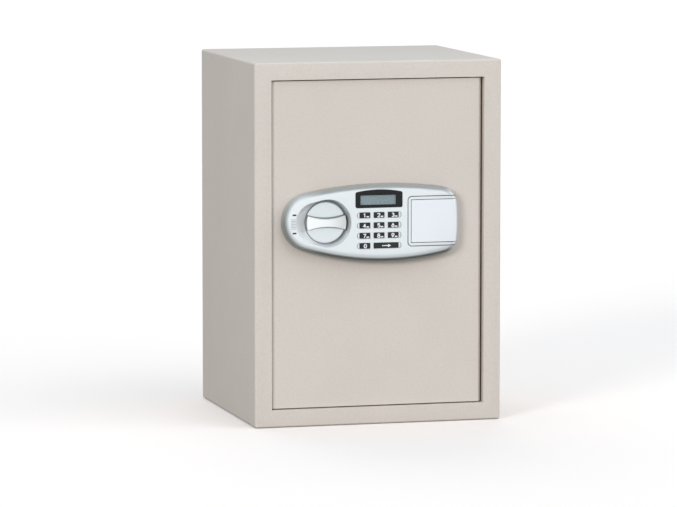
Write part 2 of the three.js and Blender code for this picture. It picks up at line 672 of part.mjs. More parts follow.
function panelHousing() {
  const face = PANEL_PROUD;
  const under = face - PANEL_SKIN;
  const wellLeft = COVER.left - COVER_GAP;
  const wellHalf = COVER.half + COVER_GAP;
  const beyond = PANEL_END + 10;
  const outside = cut(
    roundedSlab(panelOutline(0), proud(-PANEL_EDGE.deep, face), PANEL_EDGE),
    box([-200, 200], proud(-PANEL_EDGE.deep - 1, 0.2), [-100, 100]),
  );
  const keepOut = join(
    box([wellLeft - PANEL_SKIN, beyond], proud(-1, face), [-wellHalf - PANEL_SKIN, wellHalf + PANEL_SKIN]),
    dish(PANEL_SKIN, DISH_FLOOR - PANEL_SKIN),
  );
  const hollow = cut(slab(panelOutline(PANEL_EDGE.in - 1), proud(-1, under)), keepOut);
  const well = box([wellLeft, beyond], proud(WELL_FLOOR, face + 1), [-wellHalf, wellHalf]);
  const slot = { half: 4.8, past: 4.2, deep: 1.2 };
  const keySlots = keyRows.map((z) => {
    const left = keyColumns[0] - KEY.wide / 2 - slot.past;
    const right = keyColumns[2] + KEY.wide / 2 + slot.past;
    const outline = roundedRectangle(left, right, z - slot.half, z + slot.half, slot.half - 0.01);
    return slab(outline, proud(face - slot.deep, face + 1));
  });
  const keyHoles = keyPlaces.map(({ x, z, wide }) => {
    const [halfX, halfZ] = [wide / 2 + CLEARANCE, KEY.high / 2 + CLEARANCE];
    return box([x - halfX, x + halfX], proud(under - 1, face + 1), [z - halfZ, z + halfZ]);
  });
  const marks = [-1, 1].map((side) => {
    const z = side * GRIP_PAD.markZ;
    return box([GRIP_PAD.markLeft, GRIP_PAD.right], proud(face - 0.6, face + 1), [z - 0.8, z + 0.8]);
  });
  return cut(
    join(outside, ...gripRibs()),
    hollow,
    dish(0, DISH_FLOOR),
    well,
    coverGroove(),
    ...keySlots,
    ...keyHoles,
    ...marks,
    slab(bezelOutline(CLEARANCE), proud(face - 1.4, face + 1)),
    box([WINDOW.left - 1, WINDOW.right + 1], proud(under - 1, face), [WINDOW.low - 1, WINDOW.high + 1]),
    rodAlongY(KNOB_X, 0, SPINDLE_RADIUS + 2 * CLEARANCE, proud(0, face)),
    rodAlongY(OVERRIDE.x, OVERRIDE.z, OVERRIDE.radius + CLEARANCE, proud(-1, WELL_FLOOR + 1)),
  );
}

// A thin line sunk round the sliding cover, open at the panel's right end.
function coverGroove() {
  const { left, half, groove, grooveWide } = COVER;
  const span = proud(PANEL_PROUD - 0.8, PANEL_PROUD + 1);
  const ring = (out, radius) =>
    slab(roundedRectangle(left - out, 2 * PANEL_END, -half - out, half + out, radius), span);
  return cut(ring(groove + grooveWide / 2, 6), ring(groove - grooveWide / 2, 5));
}

function gripRibs() {
  const { left, right, ribs, pitch } = GRIP_PAD;
  const tall = 1.1;
  return Array.from({ length: ribs }, (_, i) => {
    const z = (i - (ribs - 1) / 2) * pitch;
    return box([left, right], proud(PANEL_PROUD - 1, PANEL_PROUD + 0.4), [z - tall / 2, z + tall / 2]);
  });
}

function displayBezel() {
  const { left, right, low, high } = WINDOW;
  const span = proud(PANEL_PROUD - 1.3, PANEL_PROUD + 0.4);
  return cut(slab(bezelOutline(0), span), box([left, right], proud(0, PANEL_PROUD + 2), [low, high]));
}

function displayWindow() {
  const { left, right, low, high } = WINDOW;
  const gap = 0.2;
  const span = proud(PANEL_PROUD - 1, PANEL_PROUD);
  return box([left + gap, right - gap], span, [low + gap, high - gap]);
}

function displayModule() {
  const { left, right, low, high } = WINDOW;
  const span = proud(PANEL_PROUD - 5.6, PANEL_PROUD - PANEL_SKIN - 0.2);
  return box([left - 4, right + 4], span, [low - 3, high + 3]);
}

// A round knob whose crowned grip is left between two scooped sides.
function knob() {
  const base = DISH_FLOOR + 0.4;
  const disc = base + 2;
  const waist = 5.9;
  const scoop = 76;
  const crown = 130;
  const blank = rodAlongY(KNOB_X, 0, KNOB_RADIUS - 0.5, proud(disc - 1, KNOB_PROUD), 64);
  const grip = cut(
    blank.intersect(rodAlongZ(KNOB_X, crown - KNOB_PROUD, crown, [-KNOB_RADIUS, KNOB_RADIUS], 192)),
    rodAlongY(KNOB_X, waist + scoop, scoop, proud(0, KNOB_PROUD + 1), 96),
    rodAlongY(KNOB_X, -waist - scoop, scoop, proud(0, KNOB_PROUD + 1), 96),
  );
  return cut(
    join(rodAlongY(KNOB_X, 0, KNOB_RADIUS, proud(base, disc), 64), grip),
    rodAlongY(KNOB_X, 0, SPINDLE_RADIUS + CLEARANCE, proud(base - 1, KNOB_PROUD - 4)),
  );
}

function knobSpindle() {
  return rodAlongY(KNOB_X, PANEL_Z, SPINDLE_RADIUS, [DOOR_FRONT - KNOB_PROUD + 5, CRANK.back + 3]);
}

function keyCap(wide) {
  return box([-wide / 2, wide / 2], proud(12.9, KEY_PROUD), [-KEY.high / 2, KEY.high / 2]);
}

function keypadMat() {
  const left = keyColumns[0] - KEY.wide / 2 - 2;
  const right = keyColumns[2] + KEY.wide / 2 + 2;
  return box([left, right], proud(9.8, 11.6), [keyRows[3] - 5, keyRows[0] + 5]);
}

function keypadBoard() {
  return box([-38, 34], proud(8, 9.6), [-40, 40]);
}

// The sliding cover over the key override: its right end is rounded like the panel's rim.
function overrideCover() {
  const face = PANEL_PROUD;
  const lip = WELL_FLOOR + CLEARANCE;
  const block = box([COVER.left, PANEL_END + 1], proud(lip, face), [-COVER.half, COVER.half]);
  const rim = roundedSlab(panelOutline(0), proud(-PANEL_EDGE.deep, face), PANEL_EDGE);
  const under = box(
    [COVER.left - 1, PANEL_END - COVER.endWall],
    proud(0, face - COVER.thick),
    [-COVER.half - 1, COVER.half + 1],
  );
  return cut(block.intersect(rim), under);
}

// ---- Assembly ----

function place(made, x, y, z) {
  made.position.set(x, y, z);
  return made;
}

const cabinet = new THREE.Group();
cabinet.add(
  mesh("body_shell", bodyShell(), "paint"),
  mesh("back_panel", backPanel(), "paint"),
  mesh("floor_mat", floorMat(), "felt"),
  mesh("shelf", shelf(), "paint"),
);
const plug = anchorPlug();
for (const [name, side] of [["left", -1], ["right", 1]]) {
  const x = (side * ANCHOR_SPACING) / 2;
  cabinet.add(place(mesh(`base_plug_${name}`, plug, "blackPlastic"), x, 0, 0));
  const back = place(mesh(`back_plug_${name}`, plug, "blackPlastic"), x, BACK, BACK_ANCHOR_Z);
  back.rotation.x = Math.PI / 2;
  cabinet.add(back);
}

const lockWork = new THREE.Group();
lockWork.add(
  mesh("bolt_carriage", boltCarriage(), "zinc"),
  mesh("blocker_lug", blockerLug(), "zinc"),
  mesh("drive_crank", driveCrank(), "zinc"),
  mesh("knob_spindle", knobSpindle(), "steel"),
  mesh("solenoid_body", solenoidBody(), "coil"),
  mesh("solenoid_plunger", solenoidPlunger(), "steel"),
  mesh("override_lock_body", overrideLockBody(), "brass"),
  mesh("override_plug", overridePlug(), "brass"),
  mesh("override_cam", overrideCam(), "zinc"),
);
const bolt = liveBolt();
for (const [name, side] of [["top", 1], ["bottom", -1]]) {
  const z = PANEL_Z + side * BOLT_SPREAD;
  const made = place(mesh(`bolt_${name}`, bolt, "steel"), BOLT_TIP_X + BOLT_LENGTH, BOLT_Y, z);
  made.rotation.y = -Math.PI / 2;
  lockWork.add(made, mesh(`bolt_guide_${name}`, boltGuide(z), "zinc"));
}

const electronics = new THREE.Group();
electronics.add(
  mesh("control_board", controlBoard(), "board"),
  mesh("battery_box", batteryBox(), "blackPlastic"),
  mesh("battery_lid", batteryLid(), "blackPlastic"),
  mesh("reset_button", resetButton(), "red"),
  mesh("cable_loom", cableLoom(), "rubber"),
);
const cell = batteryCell();
for (let i = 0; i < 4; i += 1) {
  electronics.add(place(mesh(`battery_cell_${i + 1}`, cell, "cell"), cellX(i), CELL_Y, CELL_LOW));
}

const panel = new THREE.Group();
panel.position.set(0, DOOR_FRONT, PANEL_Z);
panel.add(
  mesh("panel_housing", panelHousing(), "silver"),
  mesh("display_bezel", displayBezel(), "blackPlastic"),
  mesh("display_window", displayWindow(), "glass"),
  mesh("display_module", displayModule(), "display"),
  mesh("keypad_mat", keypadMat(), "rubber"),
  mesh("keypad_board", keypadBoard(), "board"),
  mesh("knob", knob(), "silver"),
  mesh("override_cover", overrideCover(), "coverPlastic"),
);
for (const { name, x, z, wide } of keyPlaces) {
  panel.add(place(mesh(name, keyCap(wide), "rubber"), x, 0, z));
}

const door = new THREE.Group();
door.add(mesh("door_plate", doorPlate(), "paint"), mesh("inner_cover", innerCover(), "paint"));
const block = hingeBlock();
for (const [name, foot, pin] of [
  ["bottom", DOOR_LOW + 8, [OPENING_LOW - 10, DOOR_LOW + 42]],
  ["top", DOOR_HIGH - 8 - HINGE_BLOCK.high, [DOOR_HIGH - 42, OPENING_HIGH + 10]],
]) {
  door.add(place(mesh(`hinge_block_${name}`, block, "zinc"), HINGE_X, HINGE_Y, foot));
  cabinet.add(mesh(`hinge_pin_${name}`, rodAlongZ(HINGE_X, HINGE_Y, PIN_RADIUS, pin), "steel"));
}
const screw = geometryOf(coverScrew());
COVER_SCREWS.forEach(({ x, z }, i) => {
  door.add(place(mesh(`cover_screw_${i + 1}`, screw, "steel"), x, 0, z));
});
door.add(lockWork, electronics, panel);

const safe = new THREE.Group();
safe.add(cabinet, door);

export default safe;
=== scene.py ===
"""An in-room safe: its finishes, printed marks and soft parts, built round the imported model."""

import json
import math

import bmesh
import bpy
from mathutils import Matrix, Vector, noise

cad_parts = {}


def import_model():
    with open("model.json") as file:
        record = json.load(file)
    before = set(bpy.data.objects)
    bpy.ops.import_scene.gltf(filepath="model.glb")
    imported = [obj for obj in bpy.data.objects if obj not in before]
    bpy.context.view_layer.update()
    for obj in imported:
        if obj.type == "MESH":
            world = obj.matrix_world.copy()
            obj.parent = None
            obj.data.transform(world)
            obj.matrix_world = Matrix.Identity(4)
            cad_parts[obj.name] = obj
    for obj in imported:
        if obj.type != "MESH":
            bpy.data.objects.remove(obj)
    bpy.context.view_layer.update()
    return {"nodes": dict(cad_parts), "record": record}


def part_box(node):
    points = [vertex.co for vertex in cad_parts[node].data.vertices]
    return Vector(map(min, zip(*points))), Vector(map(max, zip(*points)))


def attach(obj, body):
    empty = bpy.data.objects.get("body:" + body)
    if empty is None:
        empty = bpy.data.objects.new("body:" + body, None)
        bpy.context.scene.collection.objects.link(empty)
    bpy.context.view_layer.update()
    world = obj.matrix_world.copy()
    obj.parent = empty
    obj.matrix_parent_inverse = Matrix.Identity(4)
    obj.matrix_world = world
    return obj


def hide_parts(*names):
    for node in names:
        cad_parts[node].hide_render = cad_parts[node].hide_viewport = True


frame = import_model()
nodes = frame["nodes"]
body_of_node = {
    node: body
    for body, members in frame["record"]["behaviour"]["bodies"].items()
    for node in members
}
slot_of_node = {row["node"]: row["material_slot"] for row in frame["record"]["subparts"]}

MM = 0.001
scene = bpy.context.scene


# Places on the panel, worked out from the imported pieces
KNOB_LOW, KNOB_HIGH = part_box("knob")
KNOB_X, KNOB_Z = (KNOB_LOW.x + KNOB_HIGH.x) / 2, (KNOB_LOW.z + KNOB_HIGH.z) / 2
KNOB_RADIUS = (KNOB_HIGH.x - KNOB_LOW.x) / 2
BEZEL_PROUD = 0.4 * MM
PANEL_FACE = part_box("display_bezel")[0].y + BEZEL_PROUD
COVER_LOW, COVER_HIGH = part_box("override_cover")

# Arcs of the panel, each as the X and Z of its centre from the knob's axis, and its radius
DISH = (0.0, 0.0, 33 * MM)
DISH_NOSE = (-16.9 * MM, 0.8 * MM, 28.5 * MM)
PANEL_NOSE = (-21.0 * MM, 0.9 * MM, 40.85 * MM)
# The highest and lowest points of its outline, from the knob's axis
CREST_X, CREST_ABOVE, CREST_BELOW = 83.1 * MM, 52.2 * MM, 55.8 * MM


# ---- Material helpers ----


def srgb(red, green, blue):
    """A colour given as 0 to 255 screen values, in the linear values that a shader takes."""

    def channel(value):
        share = value / 255
        return share / 12.92 if share <= 0.04045 else ((share + 0.055) / 1.055) ** 2.4

    return (channel(red), channel(green), channel(blue), 1.0)


def scaled(colour, share, lift=0.0):
    """A linear colour made paler or darker."""
    return tuple(min(1.0, channel * share + lift) for channel in colour[:3]) + (1.0,)


class Shader:
    """A material's node tree round one Principled shader, with short calls for common patterns."""

    def __init__(self, name, colour, roughness, metallic=0.0):
        self.material = bpy.data.materials.new(name)
        self.material.use_nodes = True
        self.tree = self.material.node_tree
        self.tree.nodes.clear()
        self.bsdf = self.add("ShaderNodeBsdfPrincipled")
        output = self.add("ShaderNodeOutputMaterial")
        self.link(self.bsdf.outputs[0], output.inputs[0])
        self.bsdf.inputs["Base Color"].default_value = colour
        self.bsdf.inputs["Roughness"].default_value = roughness
        self.bsdf.inputs["Metallic"].default_value = metallic
        self.normal = None

    def add(self, kind, **settings):
        node = self.tree.nodes.new(kind)
        for key, value in settings.items():
            setattr(node, key, value)
        return node

    def link(self, source, target):
        self.tree.links.new(source, target)

    def stretched(self, scale):
        """The piece's position scaled along each axis, for grain that runs one way."""
        node = self.add("ShaderNodeMapping")
        node.inputs["Scale"].default_value = scale
        coordinates = self.add("ShaderNodeTexCoord")
        self.link(coordinates.outputs["Object"], node.inputs["Vector"])
        return node.outputs[0]

    def noise(self, size, detail=2.0, roughness=0.5, scale=(1, 1, 1)):
        """Noise whose features are about the given size in metres."""
        node = self.add("ShaderNodeTexNoise")
        node.inputs["Scale"].default_value = 1 / size
        node.inputs["Detail"].default_value = detail
        node.inputs["Roughness"].default_value = roughness
        self.link(self.stretched(scale), node.inputs["Vector"])
        return node.outputs[0]

    def axes(self):
        """The piece's own X, Y and Z at rest."""
        split = self.add("ShaderNodeSeparateXYZ")
        self.link(self.stretched((1, 1, 1)), split.inputs[0])
        return split.outputs

    def maths(self, operation, first, second):
        node = self.add("ShaderNodeMath", operation=operation)
        for socket, value in zip(node.inputs, (first, second)):
            if isinstance(value, (int, float)):
                socket.default_value = value
            else:
                self.link(value, socket)
        return node.outputs[0]

    def ramp(self, value, low, high, start=0.0, end=1.0):
        """Maps start..end of a value onto low..high."""
        node = self.add("ShaderNodeMapRange")
        self.link(value, node.inputs["Value"])
        node.inputs["From Min"].default_value = start
        node.inputs["From Max"].default_value = end
        node.inputs["To Min"].default_value = low
        node.inputs["To Max"].default_value = high
        return node.outputs[0]

    def tint(self, factor, other):
        """Mixes the base colour towards another by a factor."""
        mix = self.add("ShaderNodeMix", data_type="RGBA")
        socket = self.bsdf.inputs["Base Color"]
        if socket.is_linked:
            self.link(socket.links[0].from_socket, mix.inputs["A"])
        else:
            mix.inputs["A"].default_value = socket.default_value
        mix.inputs["B"].default_value = other
        self.link(factor, mix.inputs["Factor"])
        self.link(mix.outputs["Result"], socket)

    def vary_roughness(self, value, low, high):
        self.link(self.ramp(value, low, high), self.bsdf.inputs["Roughness"])

    def bump(self, height, depth, strength=1.0):
        """Raises the surface by height times depth in metres. A later call adds to an earlier one."""
        node = self.add("ShaderNodeBump")
        node.inputs["Distance"].default_value = depth
        node.inputs["Strength"].default_value = strength
        self.link(height, node.inputs["Height"])
        if self.normal is not None:
            self.link(self.normal, node.inputs["Normal"])
        self.normal = node.outputs[0]
        self.link(self.normal, self.bsdf.inputs["Normal"])

    def edge_wear(self, radius, other, amount=0.6, patch=0.012):
        """Tints the edges, found by how far rounding them off would turn the surface. The wear comes
        and goes along an edge in patches."""
        rounded = self.add("ShaderNodeBevel", samples=4)
        rounded.inputs["Radius"].default_value = radius
        geometry = self.add("ShaderNodeNewGeometry")
        dot = self.add("ShaderNodeVectorMath", operation="DOT_PRODUCT")
        self.link(rounded.outputs[0], dot.inputs[0])
        self.link(geometry.outputs["True Normal"], dot.inputs[1])
        patches = self.ramp(self.noise(patch, 3.0), 0.25, 1.0, 0.4, 0.6)
        edge = self.ramp(dot.outputs["Value"], amount, 0.0, 0.8, 0.99)
        self.tint(self.maths("MULTIPLY", edge, patches), other)


# ---- Finishes ----


def powder_coat(name, colour):
    """Satin powder coat: fine grain over a slight orange peel, with faint drifts of tone."""
    shader = Shader(name, colour, 0.5)
    drift = shader.noise(0.09, 2.0)
    pale, deep = scaled(colour, 1.05), scaled(colour, 0.95)
    shader.tint(shader.ramp(drift, 0.0, 0.45, 0.4, 0.62), pale)
    speck = shader.noise(0.0011, 1.0)
    shader.tint(shader.ramp(speck, 0.0, 0.55, 0.55, 0.75), deep)
    fleck = shader.noise(0.0026, 1.0)
    shader.tint(shader.ramp(fleck, 0.0, 0.6, 0.5, 0.7), deep)
    shader.tint(shader.ramp(fleck, 0.6, 0.0, 0.3, 0.45), pale)
    shader.vary_roughness(shader.noise(0.02, 3.0), 0.42, 0.56)
    shader.bump(shader.noise(0.0042, 1.0), 0.0002, 0.5)
    shader.bump(shader.noise(0.0009, 2.0), 0.00006, 0.5)
    shader.edge_wear(0.0012, srgb(238, 233, 228), 0.55, 0.03)
    return shader.material


def arc_inside(shader, x, z, arc):
    """How far a point lies inside a circle, given as the X and Z of its centre and its radius."""
    across = shader.maths("POWER", shader.maths("SUBTRACT", x, arc[0]), 2.0)
    up = shader.maths("POWER", shader.maths("SUBTRACT", z, arc[1]), 2.0)
    out = shader.maths("POWER", shader.maths("ADD", across, up), 0.5)
    return shader.maths("SUBTRACT", arc[2], out)


def rim_distance(shader, x, z):
    """How far a point lies inside the panel's outline, from the three arcs that bound it: the round
    nose on the left, and the long crests above and below, which run into the nose."""
    nose_x, nose_z, nose = PANEL_NOSE
    crests = []
    for side, high in ((1, CREST_ABOVE), (-1, CREST_BELOW)):
        rise = high - side * nose_z
        radius = ((CREST_X - nose_x) ** 2 + rise**2 - nose**2) / (2 * (rise - nose))
        crests.append(arc_inside(shader, x, z, (CREST_X, side * (high - radius), radius)))
    choose = shader.add("ShaderNodeMix", data_type="FLOAT")
    shader.link(shader.maths("LESS_THAN", x, nose_x - 5 * MM), choose.inputs["Factor"])
    shader.link(shader.maths("MINIMUM", *crests), choose.inputs["A"])
    shader.link(arc_inside(shader, x, z, PANEL_NOSE), choose.inputs["B"])
    return choose.outputs["Result"]


def shade_panel(shader):
    """On the panel, painted shade darkens the coat down the rim, more and wider low down than at the
    top; painted light pales the dish, most on its left; and a painted shadow darkens a ring of the
    dish round the knob. The coat is less metallic where the dish is pale and left of the knob."""
    x, _, z = shader.axes()
    x, z = shader.maths("SUBTRACT", x, KNOB_X), shader.maths("SUBTRACT", z, KNOB_Z)

    # Painted shade: the coat darkens down the rim towards the outline, over a wider band and more
    # strongly low down than at the top.
    width = shader.ramp(z, 12 * MM, 4 * MM, -35 * MM, 30 * MM)
    rim = shader.ramp(shader.maths("DIVIDE", rim_distance(shader, x, z), width), 1.0, 0.0, 0.2, 1.0)
    amount = shader.ramp(z, 0.8, 0.5, 0.0, 36 * MM)
    shader.tint(shader.maths("MULTIPLY", rim, amount), srgb(106, 110, 102))

    # Painted light: the dish is tinted nearly white, fully on its left and half as much on its right.
    from_edge = arc_inside(shader, x, z, DISH)
    in_dish = shader.maths("MAXIMUM", from_edge, arc_inside(shader, x, z, DISH_NOSE))
    dish = shader.ramp(in_dish, 0.0, 1.0, -0.5 * MM, 0.5 * MM)
    pale = shader.maths("MULTIPLY", dish, shader.ramp(x, 1.0, 0.5, -22 * MM, 8 * MM))
    shader.tint(pale, srgb(254, 255, 255))

    # Painted shadow: a dark ring on the dish just outside the knob, narrow on its left and widest on
    # its right.
    from_knob = shader.maths("SUBTRACT", DISH[2] - KNOB_RADIUS, from_edge)
    width = shader.ramp(x, 1.4 * MM, 4 * MM, -28 * MM, 24 * MM)
    painted_knob_shadow = shader.ramp(shader.maths("DIVIDE", from_knob, width), 0.75, 0.0, 0.35, 1.0)
    shader.tint(painted_knob_shadow, srgb(66, 74, 78))

    matt = shader.maths("SUBTRACT", 1.0, shader.maths("MULTIPLY", pale, 0.9))
    metallic = shader.bsdf.inputs["Metallic"]
    across = shader.ramp(x, 0.25, metallic.default_value, -42 * MM, -6 * MM)
    shader.link(shader.maths("MULTIPLY", matt, across), metallic)


def shade_grip(shader):
    """On the knob the coat is worn along the edges, painted shade darkens the grip's flanks down to
    the plate, and a painted highlight whitens its crest.
    """
    shader.edge_wear(0.0004, srgb(196, 200, 202), 0.4)
    y = shader.axes()[1]
    # Painted shade down the grip's flanks, between its crest and the plate.
    below_crest = shader.ramp(y, 0.0, 1.0, KNOB_LOW.y + 2.6 * MM, KNOB_LOW.y + 4.2 * MM)
    above_plate = shader.ramp(y, 1.0, 0.0, KNOB_HIGH.y - 3.4 * MM, KNOB_HIGH.y - 2.5 * MM)
    shader.tint(shader.maths("MULTIPLY", below_crest, above_plate), srgb(128, 136, 140))
    # Painted highlight: the grip's crest is whitened.
    shader.tint(shader.maths("SUBTRACT", 0.9, below_crest), srgb(254, 255, 255))


def shade_edges(shader):
    """Elsewhere the coat is worn along the edges."""
    shader.edge_wear(0.0004, srgb(196, 200, 202), 0.4)


def silver_paint(name, colour, roughness=0.3, metallic=0.84, shade=shade_edges):
    """Metallic paint on moulded plastic: tiny flakes and a fine grain."""
    shader = Shader(name, colour, roughness, metallic)
    flakes = shader.noise(0.0004, 0.0)
    shader.tint(shader.ramp(flakes, 0.0, 0.25, 0.5, 0.8), srgb(250, 252, 253))
    haze = shader.noise(0.05, 1.0)
    shader.vary_roughness(haze, roughness - 0.02, roughness + 0.03)
    shader.bump(shader.noise(0.0006, 1.0), 0.000004, 0.3)
    shade(shader)
    return shader.material


def moulded(name, colour, roughness, grain=0.0006, depth=0.00003):
    """Moulded plastic or rubber with a fine spark-eroded grain."""
    shader = Shader(name, colour, roughness)
    shader.vary_roughness(shader.noise(0.012, 2.0), roughness - 0.05, roughness + 0.07)
    patches = shader.ramp(shader.noise(0.006, 2.0), 0.0, 0.5, 0.45, 0.7)
    shader.tint(patches, scaled(colour, 1.25, 0.004))
    shader.bump(shader.noise(grain, 2.0), depth, 0.6)
    shader.edge_wear(0.0004, scaled(colour, 1.3, 0.02), 0.5)
    return shader.material


def glossy(name, colour, roughness=0.12):
    """Polished plastic with a clear coat, faint dust and swirl."""
    shader = Shader(name, colour, roughness)
    shader.bsdf.inputs["Coat Weight"].default_value = 0.12
    shader.bsdf.inputs["Coat Roughness"].default_value = 0.1
    shader.bsdf.inputs["Specular IOR Level"].default_value = 0.25
    shader.vary_roughness(shader.noise(0.004, 3.0), roughness - 0.04, roughness + 0.1)
    shader.tint(shader.ramp(shader.noise(0.0008, 0.0), 0.0, 0.25, 0.62, 0.8), srgb(70, 74, 78))
    shader.edge_wear(0.0004, srgb(64, 68, 72), 0.5)
    return shader.material


def metal(name, colour, roughness, grain):
    """Machined or rolled metal with grain drawn out along the axis whose scale is smallest."""
    shader = Shader(name, colour, roughness, 1.0)
    lines = shader.noise(0.0012, 3.0, 0.6, grain)
    shader.vary_roughness(lines, roughness - 0.08, roughness + 0.12)
    shader.tint(shader.ramp(lines, 0.0, 0.6, 0.45, 0.75), scaled(colour, 0.72))
    shader.bump(lines, 0.00004, 0.4)
    shader.edge_wear(0.0005, scaled(colour, 1.2), 0.8)
    return shader.material


def zinc_plate():
    """Zinc plate: patches of faint yellow and blue over a soft metallic grey."""
    shader = Shader("zinc", srgb(196, 194, 182), 0.38, 0.9)
    shader.tint(shader.ramp(shader.noise(0.018, 3.0), 0.0, 0.7, 0.42, 0.62), srgb(186, 190, 196))
    shader.tint(shader.ramp(shader.noise(0.009, 3.0), 0.0, 0.4, 0.55, 0.7), srgb(206, 194, 150))
    shader.vary_roughness(shader.noise(0.004, 3.0), 0.28, 0.5)
    shader.bump(shader.noise(0.0008, 2.0), 0.00003, 0.4)
    shader.edge_wear(0.0005, srgb(122, 124, 128), 0.7)
    return shader.material


def felt():
    """Needled felt: matted fibres in several greys, with sheen."""
    shader = Shader("felt", srgb(62, 63, 67), 0.95)
    shader.bsdf.inputs["Sheen Weight"].default_value = 0.6
    shader.bsdf.inputs["Sheen Roughness"].default_value = 0.5
    along = shader.noise(0.0011, 4.0, 0.7, (1, 0.18, 1))
    across = shader.noise(0.0011, 4.0, 0.7, (0.18, 1, 1))
    shader.tint(shader.ramp(along, 0.0, 0.8, 0.5, 0.75), srgb(104, 105, 110))
    shader.tint(shader.ramp(across, 0.0, 0.8, 0.5, 0.75), srgb(34, 35, 38))
    shader.bump(along, 0.0004, 0.8)
    shader.bump(across, 0.0004, 0.8)
    shader.bump(shader.noise(0.012, 2.0), 0.0006, 0.4)
    return shader.material


def window_glass():
    """The clear display window, slightly smoky."""
    shader = Shader("window", srgb(206, 220, 220), 0.04)
    shader.bsdf.inputs["Alpha"].default_value = 0.16
    shader.bsdf.inputs["Coat Weight"].default_value = 0.5
    shader.vary_roughness(shader.noise(0.006, 2.0), 0.02, 0.1)
    return shader.material


def liquid_crystal():
    """The unlit display: grey-green, paler to one side, with a faint cell pattern."""
    shader = Shader("display", srgb(98, 124, 132), 0.35)
    shader.tint(shader.ramp(shader.noise(0.03, 1.0), 0.0, 0.8, 0.35, 0.65), srgb(116, 142, 149))
    grid = shader.add("ShaderNodeTexBrick", offset=0.0)
    grid.inputs["Scale"].default_value = 900
    grid.inputs["Mortar Size"].default_value = 0.03
    turned = shader.add("ShaderNodeVectorRotate", rotation_type="X_AXIS")
    turned.inputs["Angle"].default_value = math.pi / 2
    shader.link(shader.stretched((1, 1, 1)), turned.inputs["Vector"])
    shader.link(turned.outputs[0], grid.inputs["Vector"])
    shader.tint(shader.ramp(grid.outputs["Fac"], 0.0, 0.2), srgb(104, 126, 130))
    return shader.material


def board():
    """Green solder mask with tracks just showing through it."""
    shader = Shader("board", srgb(24, 92, 52), 0.4)
    tracks = shader.add("ShaderNodeTexBrick", offset=0.5)
    tracks.inputs["Scale"].default_value = 160
    tracks.inputs["Mortar Size"].default_value = 0.05
    shader.link(shader.stretched((1, 1, 1)), tracks.inputs["Vector"])
    shader.tint(shader.ramp(tracks.outputs["Fac"], 0.0, 0.5), srgb(46, 124, 74))
    shader.bump(shader.noise(0.002, 1.0), 0.00004, 0.5)
    return shader.material


def cell_sleeve():
    """A battery cell's printed sleeve: plain dark grey with a copper-coloured band, no marks."""
    shader = Shader("cell", srgb(66, 70, 74), 0.32, 0.6)
    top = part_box("battery_cell_1")[1].z
    band = shader.ramp(shader.axes()[2], 0.0, 1.0, top - 16 * MM, top - 15.5 * MM)
    shader.tint(band, srgb(176, 116, 70))
    shader.vary_roughness(shader.noise(0.01, 2.0), 0.26, 0.4)
    return shader.material


def ink(name, colour):
    """Pad-printed ink, a little uneven. The same recipe also makes the strips of painted shade."""
    shader = Shader(name, colour, 0.5)
    thin = shader.ramp(shader.noise(0.0007, 2.0), 0.0, 0.6, 0.5, 0.75)
    shader.tint(thin, scaled(colour, 0.8))
    shader.bump(shader.noise(0.0004, 1.0), 0.00001, 0.5)
    return shader.material


finishes = {
    "paint": powder_coat("paint", srgb(217, 207, 198)),
    "silver": silver_paint("silver", srgb(229, 235, 239)),
    "knob": silver_paint("knob_silver", srgb(231, 237, 240), shade=shade_grip),
    "housing": silver_paint("housing", srgb(238, 243, 245), shade=shade_panel),
    "cover_plastic": silver_paint("cover_plastic", srgb(242, 245, 250), 0.34, 0.25),
    "black_plastic": moulded("black_plastic", srgb(26, 27, 29), 0.5),
    "bezel_black": glossy("bezel_black", srgb(9, 13, 15)),
    "key_rubber": moulded("key_rubber", srgb(30, 31, 32), 0.45, 0.0004),
    "window": window_glass(),
    "display": liquid_crystal(),
    "steel": metal("steel", srgb(190, 192, 196), 0.26, (0.05, 1, 1)),
    "zinc": zinc_plate(),
    "brass": metal("brass", srgb(196, 164, 98), 0.26, (1, 0.05, 1)),
    "felt": felt(),
    "board": board(),
    "cell": cell_sleeve(),
    "coil": moulded("coil", srgb(40, 45, 50), 0.55, 0.0008, 0.0002),
    "red": moulded("red", srgb(188, 34, 28), 0.35),
}
white_ink = ink("white_ink", srgb(244, 246, 246))
black_ink = ink("black_ink", srgb(22, 24, 25))
# The next three are not print but strips of painted shade: grey between the panel's ribs, darker at
# the key slots' left ends and round the cover's groove, fainter at the slots' right ends.
painted_rib_shade = ink("painted_rib_shade", srgb(150, 154, 156))
painted_shade = ink("painted_shade", srgb(84, 88, 90))
faint_painted_shade = ink("faint_painted_shade", srgb(176, 182, 184))


# ---- CAD nodes: welded, edges eased, painted ----


def weld_group():
    """A modifier that joins the loose triangles, drops their stored normals and shades them smooth."""
    group = bpy.data.node_groups.new("weld", "GeometryNodeTree")
    for way in ("INPUT", "OUTPUT"):
        group.interface.new_socket("Geometry", in_out=way, socket_type="NodeSocketGeometry")
    start = group.nodes.new("NodeGroupInput")
    merge = group.nodes.new("GeometryNodeMergeByDistance")
    merge.inputs["Distance"].default_value = 0.004 * MM
    drop = group.nodes.new("GeometryNodeRemoveAttribute")
    drop.inputs["Name"].default_value = "custom_normal"
    smooth = group.nodes.new("GeometryNodeSetShadeSmooth")
    end = group.nodes.new("NodeGroupOutput")
    chain = [start, merge, drop, smooth, end]
    for left, right in zip(chain, chain[1:]):
        group.links.new(left.outputs[0], right.inputs[0])
    return group


WELD = weld_group()
EASE = {"paint": 0.5, "silver": 0.12, "zinc": 0.25, "steel": 0.3, "key_rubber": 0.7, "felt": 0.0}
DEFAULT_EASE = 0.2


